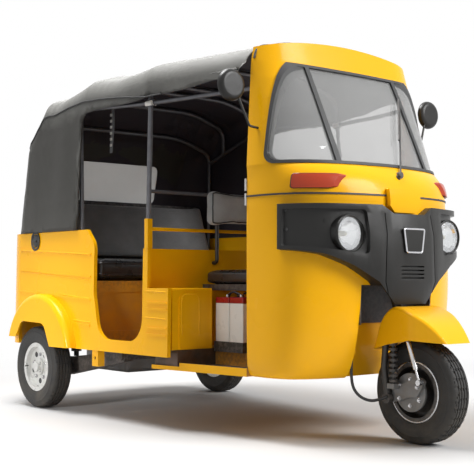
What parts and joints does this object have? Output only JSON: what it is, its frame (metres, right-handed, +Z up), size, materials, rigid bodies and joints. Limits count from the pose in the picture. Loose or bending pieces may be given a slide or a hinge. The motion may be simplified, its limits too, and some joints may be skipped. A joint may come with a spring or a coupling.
{
  "type": "auto rickshaw",
  "caption": "Three-wheeled auto rickshaw with an open cab, a fabric canopy, a passenger bench and a steered front wheel.",
  "frame": {"origin": "middle of the footprint, on the ground under the wheels", "axes": "+X forwards, +Y to the vehicle's left, +Z up"},
  "size_m": [2.635, 1.338, 1.669],
  "materials": {
    "yellow_paint": "gloss",
    "yellow_floor_paint": "satin",
    "black_plastic": "fine grain",
    "black_steel": "satin",
    "rubber_trim": "matte",
    "tyre_rubber": "matte",
    "silver_rim": "satin",
    "chrome_tube": "polished",
    "clear_glass": "clear",
    "mirror_face": "polished",
    "amber_lens": "gloss",
    "red_lens": "gloss",
    "canvas": "coated weave",
    "window_film": "soft clear film",
    "black_vinyl": "grained",
    "grey_cloth": "quilted",
    "plywood": "painted dark",
    "white_plastic": "gloss",
    "red_plastic": "gloss",
    "cast_alloy": "cast",
    "bright_steel": "satin"
  },
  "bodies": {
    "body": {"backrest_stand": "plywood", "battery_cases": "white_plastic", "battery_lids": "red_plastic", "bench_backrest": "grey_cloth", "bench_base": "yellow_floor_paint", "bench_cushion": "black_vinyl", "brake_hose": "rubber_trim", "cab_lower_shell": "yellow_paint", "cab_rubber": "rubber_trim", "cab_screen_surround": "yellow_paint", "cabin_floor": "yellow_floor_paint", "canopy": "canvas", "canopy_frame": "chrome_tube", "canopy_window": "window_film", "driver_backrest": "grey_cloth", "driver_cushion": "black_vinyl", "driver_floor": "yellow_floor_paint", "driver_seat_frame": "black_steel", "engine_block": "cast_alloy", "front_badge": "chrome_tube", "front_mask": "black_plastic", "front_turn_signals": "amber_lens", "headlamp_bowls": "chrome_tube", "headlamp_lenses": "clear_glass", "mirror_glasses": "mirror_face", "mirrors": "black_plastic", "nose_flap": "yellow_paint", "partition": "yellow_paint", "rear_bumper": "black_steel", "rear_half_shafts": "black_steel", "rear_mudguards": "yellow_paint", "rear_panel": "yellow_paint", "rear_springs": "black_steel", "rear_subframe": "black_steel", "seat_plinth": "yellow_floor_paint", "side_panel_left": "yellow_paint", "side_panel_right": "yellow_paint", "sill_brackets": "yellow_floor_paint", "steering_head": "black_steel", "tail_lamps": "red_lens", "trailing_arms": "black_steel", "wheel_recess_liner": "black_plastic", "windscreen_glass": "clear_glass", "wiper": "black_plastic"},
    "rear_lid": {"rear_lid": "yellow_paint"},
    "steering": {"front_damper": "bright_steel", "front_link": "cast_alloy", "front_mudguard": "yellow_paint", "front_spring": "black_steel", "handlebar": "black_plastic", "steering_stem": "black_steel"},
    "front_wheel": {"front_rim": "silver_rim", "front_tyre": "tyre_rubber"},
    "rear_wheel_right": {"rear_rim_right": "silver_rim", "rear_tyre_right": "tyre_rubber"},
    "rear_wheel_left": {"rear_rim_left": "silver_rim", "rear_tyre_left": "tyre_rubber"}
  },
  "joints": [
    {"name": "steering_turn", "type": "hinge", "parent": "body", "child": "steering", "pos_m": [1.0975, 0, 0.205], "axis": [-0.309, 0, 0.9511], "range_deg": [-38, 38], "deforming": ["brake_hose"]},
    {"name": "front_wheel_spin", "type": "hinge", "parent": "steering", "child": "front_wheel", "pos_m": [1.1125, 0, 0.205], "axis": [0, 1, 0], "continuous": true},
    {"name": "rear_wheel_right_spin", "type": "hinge", "parent": "body", "child": "rear_wheel_right", "pos_m": [-0.8875, -0.575, 0.205], "axis": [0, 1, 0], "continuous": true},
    {"name": "rear_wheel_left_spin", "type": "hinge", "parent": "body", "child": "rear_wheel_left", "pos_m": [-0.8875, 0.575, 0.205], "axis": [0, 1, 0], "continuous": true},
    {"name": "rear_lid_hinge", "type": "hinge", "parent": "body", "child": "rear_lid", "pos_m": [-1.2948, 0, 0.803], "axis": [0, 1, 0], "range_deg": [0, 75]}
  ]
}
